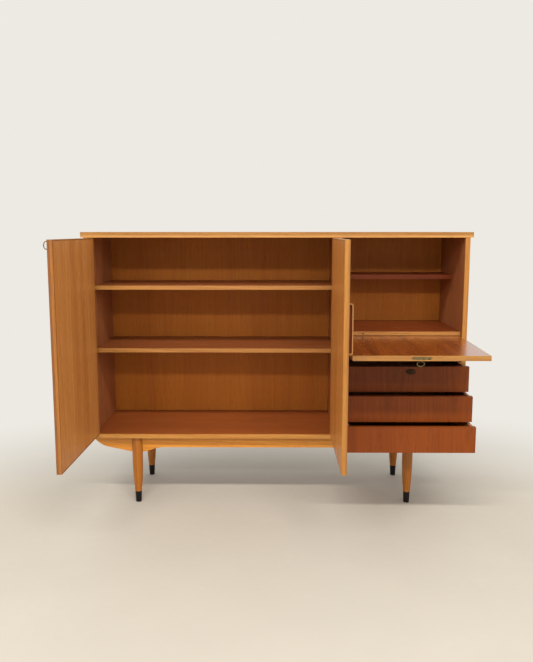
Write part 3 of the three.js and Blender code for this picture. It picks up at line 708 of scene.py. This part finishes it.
def facing(direction, x, y, z):
    """A place on a surface that faces front, back, right, left, down or up, with its middle at a point."""
    turns = {
        "front": Matrix.Rotation(math.pi / 2, 4, "X"),
        "back": Matrix.Rotation(math.pi, 4, "Z") @ Matrix.Rotation(math.pi / 2, 4, "X"),
        "right": Matrix.Rotation(math.pi / 2, 4, "Z") @ Matrix.Rotation(math.pi / 2, 4, "X"),
        "left": Matrix.Rotation(-math.pi / 2, 4, "Z") @ Matrix.Rotation(math.pi / 2, 4, "X"),
        "down": Matrix.Rotation(math.pi, 4, "X"),
        "up": Matrix.Identity(4),
    }
    return Matrix.Translation((x, y, z)) @ turns[direction]


# Keyholes, how far they are below a lock case's top, and the rims of the ovals round them, each as its half
# width, its half height and its stand above the board
KEYHOLE = keyhole(0.0026, 0.0014, 0.0067)
KEYHOLE_DROP = 0.020
UPRIGHT_RIMS = ((0.0085, 0.014, 0.0), (0.0085, 0.014, 0.0006), (0.0072, 0.0125, 0.001))
WIDE_RIMS = ((0.020, 0.0115, 0.0), (0.020, 0.0115, 0.0008), (0.0185, 0.010, 0.0014), (0.016, 0.008, 0.0007))
UPRIGHT_ROUND = 0.00015
WIDE_ROUND = 0.0002

# The two screws in a lock case's top, as their distance from its middle, their radius and their height
LOCK_SCREW_SHIFT = 0.029
LOCK_SCREW = (0.0026, 0.0002)


def add_escutcheon(name, body, place, rims, material, width):
    bm = bmesh.new()
    loops = [(oval(across, up), height) for across, up, height in rims]
    bridge(bm, loops + [(KEYHOLE, rims[-1][2]), (KEYHOLE, 0.0)])
    bm.transform(place)
    add_piece(name, bm, body, material, width)


def add_lock_screws(name, body, board_to_scene, low, high):
    bm = bmesh.new()
    for shift in (-LOCK_SCREW_SHIFT, LOCK_SCREW_SHIFT):
        place = facing("up", (low.x + high.x) / 2 + shift, (low.y + high.y) / 2, high.z)
        add_screw(bm, board_to_scene @ place, *LOCK_SCREW)
    add_piece(name, bm, body, STEEL)


# Escutcheons of the door and the flap, upright ovals round their keyholes, and their locks' screws
LOCKED = (
    ("door", "left_door", LEFT_REST, "left_door_body"),
    ("flap", "flap", FLAP_REST, "flap_body"),
)
for name, board, rest, body in LOCKED:
    case_low, case_high = own_box(name + "_lock_case", rest)
    front = own_box(board, rest)[0].y
    place = facing("front", (case_low.x + case_high.x) / 2, front, case_high.z - KEYHOLE_DROP)
    add_escutcheon(name + "_escutcheon", body, rest.inverted() @ place, UPRIGHT_RIMS, STEEL, UPRIGHT_ROUND)
    add_lock_screws(name + "_lock_screws", body, rest.inverted(), case_low, case_high)

# The top drawer's escutcheon, a wide oval with a raised rim, and its lock's screws
case_low, case_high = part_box("drawer_lock_case")
drawer_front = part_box("top_drawer_front")[0].y
lock_x = (case_low.x + case_high.x) / 2
place = facing("front", lock_x, drawer_front, case_high.z - KEYHOLE_DROP)
add_escutcheon("drawer_escutcheon", "top_drawer_body", place, WIDE_RIMS, BRONZE, WIDE_ROUND)
add_lock_screws("drawer_lock_screws", "top_drawer_body", Matrix.Identity(4), case_low, case_high)

# Strike plates, as their corners' radius, how deep they are let in, how far they stand out, and where their
# screws are as a share of their half width
STRIKE_CORNER = 0.0025
STRIKE_SUNK = 0.0008
STRIKE_PROUD = 0.0005
STRIKE_SCREW_SHARE = 0.72
STRIKE_SCREW = (0.002, 0.0002)
STRIKE_ROUND = 0.00015
BOLT_STRIKE = (0.021, 0.006, rounded_slab(0.0095, 0.0032, 0.001))
CATCH_STRIKE = (0.019, 0.007, oval(0.0034, 0.0034))


# Plates that the bolts and the ball catch meet, let into the boards above them
def strike_plate(name, middle_x, middle_y, underside, half_width, half_height, hole):
    bm = bmesh.new()
    outline = rounded_slab(half_width, half_height, STRIKE_CORNER)
    bridge(bm, [(outline, -STRIKE_SUNK), (outline, STRIKE_PROUD), (hole, STRIKE_PROUD), (hole, -STRIKE_SUNK)])
    bm.transform(facing("down", middle_x, middle_y, underside))
    for shift in (-STRIKE_SCREW_SHARE * half_width, STRIKE_SCREW_SHARE * half_width):
        add_screw(bm, facing("down", middle_x + shift, middle_y, underside - STRIKE_PROUD), *STRIKE_SCREW)
    add_piece(name, bm, "carcass", STEEL, STRIKE_ROUND)


STRIKES = (
    ("door_strike", "door_lock_case", LEFT_REST, left_pin, BOLT_STRIKE),
    ("flap_strike", "flap_lock_case", FLAP_REST, flap_pin, BOLT_STRIKE),
    ("catch_strike", "right_door_catch", RIGHT_REST, right_pin, CATCH_STRIKE),
)
for name, node, rest, pin, plate in STRIKES:
    low, high = own_box(node, rest)
    strike_plate(name, pin.x + (low.x + high.x) / 2, pin.y + (low.y + high.y) / 2, top_low.z, *plate)
shut_y = (case_low.y + case_high.y) / 2 + side_low.y - drawer_front
strike_plate("drawer_strike", lock_x, shut_y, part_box("drawer_rail")[0].z, *BOLT_STRIKE)

# Screws of the piano hinges: how many, how far from a leaf's ends and rear edge, and the leaf's thickness
LEAF_SCREWS = 13
LEAF_END = 0.026
LEAF_EDGE = 0.006
LEAF_THICKNESS = 0.001
LEAF_SCREW = (0.0022, 0.00015)


def add_leaf_screws(name, body, board_to_scene, direction, x, y, heights):
    bm = bmesh.new()
    for height in heights:
        add_screw(bm, board_to_scene @ facing(direction, x, y, height), *LEAF_SCREW)
    add_piece(name, bm, body, BRASS)


HINGES = (
    ("left", LEFT_REST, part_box("left_side")[1].x + LEAF_THICKNESS, "right", "left"),
    ("right", RIGHT_REST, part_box("divider")[0].x - LEAF_THICKNESS, "left", "right"),
)
for side, rest, carcass_x, carcass_way, door_way in HINGES:
    leaf_low, leaf_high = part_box(side + "_hinge_carcass_leaf")
    span = leaf_high.z - leaf_low.z - 2 * LEAF_END
    heights = [leaf_low.z + LEAF_END + span * i / (LEAF_SCREWS - 1) for i in range(LEAF_SCREWS)]
    add_leaf_screws(side + "_carcass_leaf_screws", "carcass", Matrix.Identity(4), carcass_way,
                    carcass_x, leaf_high.y - LEAF_EDGE, heights)
    door_low, door_high = own_box(side + "_door", rest)
    leaf_edge = own_box(side + "_hinge_door_leaf", rest)[1].y - LEAF_EDGE
    door_x = door_low.x - LEAF_THICKNESS if side == "left" else door_high.x + LEAF_THICKNESS
    add_leaf_screws(side + "_door_leaf_screws", side + "_door_body", rest.inverted(), door_way,
                    door_x, leaf_edge, heights)

# Screws round the back panel and along its divider, by columns and rows, and their distances from its edges
BACK_COLUMNS = 12
BACK_ROWS = 6
BACK_CORNER = 0.012
BACK_EDGE = 0.010
BACK_SCREW = (0.0032, 0.0006)
back_low, back_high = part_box("back_panel")
back_span = back_high.x - back_low.x - 2 * BACK_CORNER
bm = bmesh.new()
for i in range(BACK_COLUMNS):
    x = back_low.x + BACK_CORNER + back_span * i / (BACK_COLUMNS - 1)
    for z in (back_low.z + BACK_EDGE, back_high.z - BACK_EDGE):
        add_screw(bm, facing("back", x, back_high.y, z), *BACK_SCREW)
for i in range(1, BACK_ROWS):
    z = back_low.z + (back_high.z - back_low.z) * i / BACK_ROWS
    for x in (back_low.x + BACK_EDGE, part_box("divider")[0].x + BACK_EDGE, back_high.x - BACK_EDGE):
        add_screw(bm, facing("back", x, back_high.y, z), *BACK_SCREW)
add_piece("back_screws", bm, "carcass", STEEL)

# A dark screw in the compartment floor's front edge
FLOOR_SCREW_X = 0.361
FLOOR_SCREW = (0.0032, 0.0004)
floor_low, floor_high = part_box("compartment_floor")
bm = bmesh.new()
add_screw(bm, facing("front", FLOOR_SCREW_X, floor_low.y, (floor_low.z + floor_high.z) / 2), *FLOOR_SCREW)
add_piece("compartment_screw", bm, "carcass", BRONZE)

# Round plates where the flap's pins enter the divider and the right side. A rim is its radius and its stand.
PIVOT_RIMS = ((0.009, 0.0), (0.009, 0.0005), (0.008, 0.0008), (0.0033, 0.0008), (0.0033, 0.0))
PIVOT_ROUND = 0.0001
PIVOT_FACES = (
    ("left", "right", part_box("divider")[1].x),
    ("right", "left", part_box("right_side")[0].x),
)
for side, direction, face in PIVOT_FACES:
    bm = bmesh.new()
    bridge(bm, [(oval(radius, radius), height) for radius, height in PIVOT_RIMS])
    bm.transform(facing(direction, face, flap_pin.y, flap_pin.z))
    add_piece("flap_plate_" + side, bm, "carcass", BRASS, PIVOT_ROUND)

# Camera
SENSOR_WIDTH = 36
LENS = 38.24
CAMERA_PLACE = (-0.0193, -2.8302, 1.1586)
CAMERA_DIP = math.radians(8.10)
CAMERA_TURN = math.radians(0.43)
camera_data = bpy.data.cameras.new("camera")
camera = bpy.data.objects.new("camera", camera_data)
scene.collection.objects.link(camera)
camera_data.sensor_width = SENSOR_WIDTH
camera_data.lens = LENS
camera.location = CAMERA_PLACE
camera.rotation_euler = (math.pi / 2 - CAMERA_DIP, 0, CAMERA_TURN)
scene.camera = camera

# Floor, fading into the background
PALE = linear("edeae3")
FLOOR_RADIUS = 14
FLOOR_SHIFT = -0.9
FADE_START = 1.3
FADE_END = 2.8


def make_floor():
    mesh = bpy.data.meshes.new("floor")
    bm = bmesh.new()
    bmesh.ops.create_circle(bm, cap_ends=True, radius=FLOOR_RADIUS, segments=96)
    bm.to_mesh(mesh)
    bm.free()
    floor = bpy.data.objects.new("floor", mesh)
    scene.collection.objects.link(floor)
    floor.location.y = FLOOR_SHIFT
    material, tree, shader = new_material("pale_floor")
    source = tree.nodes.new("ShaderNodeTexCoord").outputs["Object"]
    mottled = noise(tree, source, detail=4, roughness=0.6, scale=3.0)
    colour = blend_colour(tree, mottled, linear("b0aca4"), linear("b8b4ac"))
    tree.links.new(colour, shader.inputs["Base Color"])
    grain = noise(tree, source, detail=3, roughness=0.5, scale=30)
    rough = spread(tree, grain, NOISE_LOW, NOISE_HIGH, 0.6, 0.75)
    tree.links.new(rough, shader.inputs["Roughness"])
    far = tree.nodes.new("ShaderNodeVectorMath")
    far.operation = "LENGTH"
    tree.links.new(source, far.inputs[0])
    glow = tree.nodes.new("ShaderNodeEmission")
    glow.inputs["Color"].default_value = PALE
    mixed = tree.nodes.new("ShaderNodeMixShader")
    feed(tree, spread(tree, far.outputs["Value"], FADE_START, FADE_END, kind="SMOOTHSTEP"), mixed.inputs[0])
    tree.links.new(shader.outputs[0], mixed.inputs[1])
    tree.links.new(glow.outputs[0], mixed.inputs[2])
    tree.links.new(mixed.outputs[0], tree.nodes["Material Output"].inputs[0])
    mesh.materials.append(material)


make_floor()

# Light
world = bpy.data.worlds.new("studio")
world.use_nodes = True
world.node_tree.nodes["Background"].inputs["Color"].default_value = PALE
world.node_tree.nodes["Background"].inputs["Strength"].default_value = 1.0
scene.world = world

# The colour of all the lamps
WARM = (1.0, 0.93, 0.83)


def area_light(name, place, target, size, energy):
    data = bpy.data.lights.new(name, "AREA")
    data.shape = "RECTANGLE"
    data.size, data.size_y = size
    data.energy = energy
    data.color = WARM
    lamp = bpy.data.objects.new(name, data)
    scene.collection.objects.link(lamp)
    lamp.location = place
    lamp.rotation_euler = (Vector(target) - Vector(place)).to_track_quat("-Z", "Y").to_euler()


area_light("low_front", (-0.3, -4.2, 2.7), (0, 0, 0.9), (5.0, 0.18), 64)
area_light("high_front", (-0.3, -5.0, 6.2), (0, 0, 0.9), (7.0, 0.4), 570)
area_light("left_fill", (-3.6, -2.8, 2.2), (0, 0, 0.7), (1.4, 1.4), 12)
area_light("right_fill", (3.6, -2.8, 2.2), (0, 0, 0.7), (1.4, 1.4), 27)
scene.view_settings.view_transform = "Standard"
